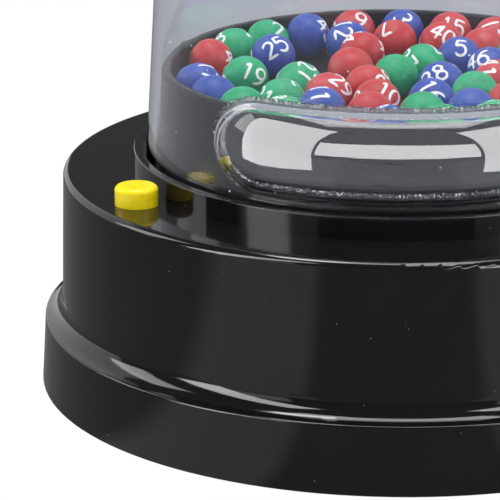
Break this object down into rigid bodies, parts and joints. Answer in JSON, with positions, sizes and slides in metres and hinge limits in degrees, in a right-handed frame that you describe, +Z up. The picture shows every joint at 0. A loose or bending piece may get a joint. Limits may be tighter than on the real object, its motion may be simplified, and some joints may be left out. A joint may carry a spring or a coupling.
{
  "type": "tabletop lottery ball machine",
  "caption": "Round black base with a battery drive, a turntable bowl of numbered balls, a clear lift-off dome with a ball gallery round its front, and a yellow push-button.",
  "frame": {"origin": "on the table under the machine's axis", "axes": "+Z up along the axis, -Y to the front where the ball gallery is, the push-button at the front left (-X)"},
  "size_m": [0.152, 0.152, 0.1712],
  "materials": {
    "black_gloss": "glossy moulded ABS",
    "bowl_black": "semi-gloss moulded plastic",
    "clear_plastic": "clear polystyrene",
    "ball_red": "glossy",
    "ball_green": "glossy",
    "ball_blue": "glossy",
    "button_yellow": "glossy",
    "switch_black": "moulded",
    "board_green": "circuit board",
    "spring_steel": "drawn wire",
    "bush_brass": "turned",
    "shaft_steel": "ground",
    "gear_white": "nylon",
    "pinion_brass": "turned",
    "gearbox_grey": "moulded",
    "motor_steel": "zinc plated",
    "magnet_ferrite": "ferrite",
    "armature_iron": "laminations and winding",
    "endcap_white": "moulded",
    "contact_nickel": "nickel plated spring steel",
    "cell_jacket": "jacketed cell",
    "plate_black": "fine texture",
    "foot_rubber": "soft rubber",
    "screw_steel": "zinc plated",
    "wire_red": "PVC insulation",
    "wire_black": "PVC insulation"
  },
  "bodies": {
    "base": {"base_housing": "black_gloss", "ball_bowl": "bowl_black", "shaft_bush": "bush_brass", "bowl_screws": "screw_steel", "base_plate": "plate_black", "base_screws": "screw_steel", "rubber_feet": "foot_rubber", "motor_case": "motor_steel", "motor_magnets": "magnet_ferrite", "motor_endcap": "endcap_white", "motor_terminals": "contact_nickel", "motor_screws": "screw_steel", "gear_plate_upper": "gearbox_grey", "gear_plate_lower": "gearbox_grey", "gearbox_screws": "screw_steel", "gear_axles": "shaft_steel", "switch_board": "board_green", "switch_body": "switch_black", "switch_screws": "screw_steel", "button_spring": "spring_steel", "batteries": "cell_jacket", "battery_contacts": "contact_nickel", "wire_battery_switch": "wire_red", "wire_switch_motor": "wire_red", "wire_motor_battery": "wire_black"},
    "turntable": {"turntable": "bowl_black", "drive_shaft": "shaft_steel", "output_gear": "gear_white", "balls_red": "ball_red", "balls_green": "ball_green", "balls_blue": "ball_blue"},
    "second_gear": {"compound_gear_2": "gear_white"},
    "first_gear": {"compound_gear_1": "gear_white"},
    "motor_rotor": {"motor_armature": "armature_iron", "motor_shaft": "shaft_steel", "motor_pinion": "pinion_brass"},
    "button": {"button_cap": "button_yellow", "switch_plunger": "switch_black"},
    "dome": {"dome": "clear_plastic", "ball_gallery": "clear_plastic"},
    "battery_door": {"battery_door": "plate_black", "door_screws": "screw_steel"}
  },
  "joints": [
    {"name": "turntable_spin", "type": "hinge", "parent": "base", "child": "turntable", "pos_m": [0, 0, 0.0615], "axis": [0, 0, 1], "continuous": true},
    {"name": "second_gear_spin", "type": "hinge", "parent": "base", "child": "second_gear", "pos_m": [0.01579, -0.00575, 0.0377], "axis": [0, 0, 1], "continuous": true},
    {"name": "first_gear_spin", "type": "hinge", "parent": "base", "child": "first_gear", "pos_m": [0.02314, -0.01848, 0.0345], "axis": [0, 0, 1], "continuous": true},
    {"name": "motor_spin", "type": "hinge", "parent": "base", "child": "motor_rotor", "pos_m": [0.01041, -0.02583, 0.02], "axis": [0, 0, 1], "continuous": true},
    {"name": "button_press", "type": "slide", "parent": "base", "child": "button", "axis": [0, 0, -1], "range_m": [0, 0.0018], "stiffness_N_per_m": 300, "springref_m": -0.002, "deforming": ["button_spring"]},
    {"name": "dome_lift", "type": "slide", "parent": "base", "child": "dome", "axis": [0, 0, 1], "range_m": [0, 0.03]},
    {"name": "battery_door_drop", "type": "slide", "parent": "base", "child": "battery_door", "axis": [0, 0, -1], "range_m": [0, 0.012]}
  ],
  "couplings": [
    {"joint": "second_gear_spin", "follows": "turntable_spin", "ratio": -3},
    {"joint": "first_gear_spin", "follows": "turntable_spin", "ratio": 7.5},
    {"joint": "motor_spin", "follows": "turntable_spin", "ratio": -18.75}
  ]
}
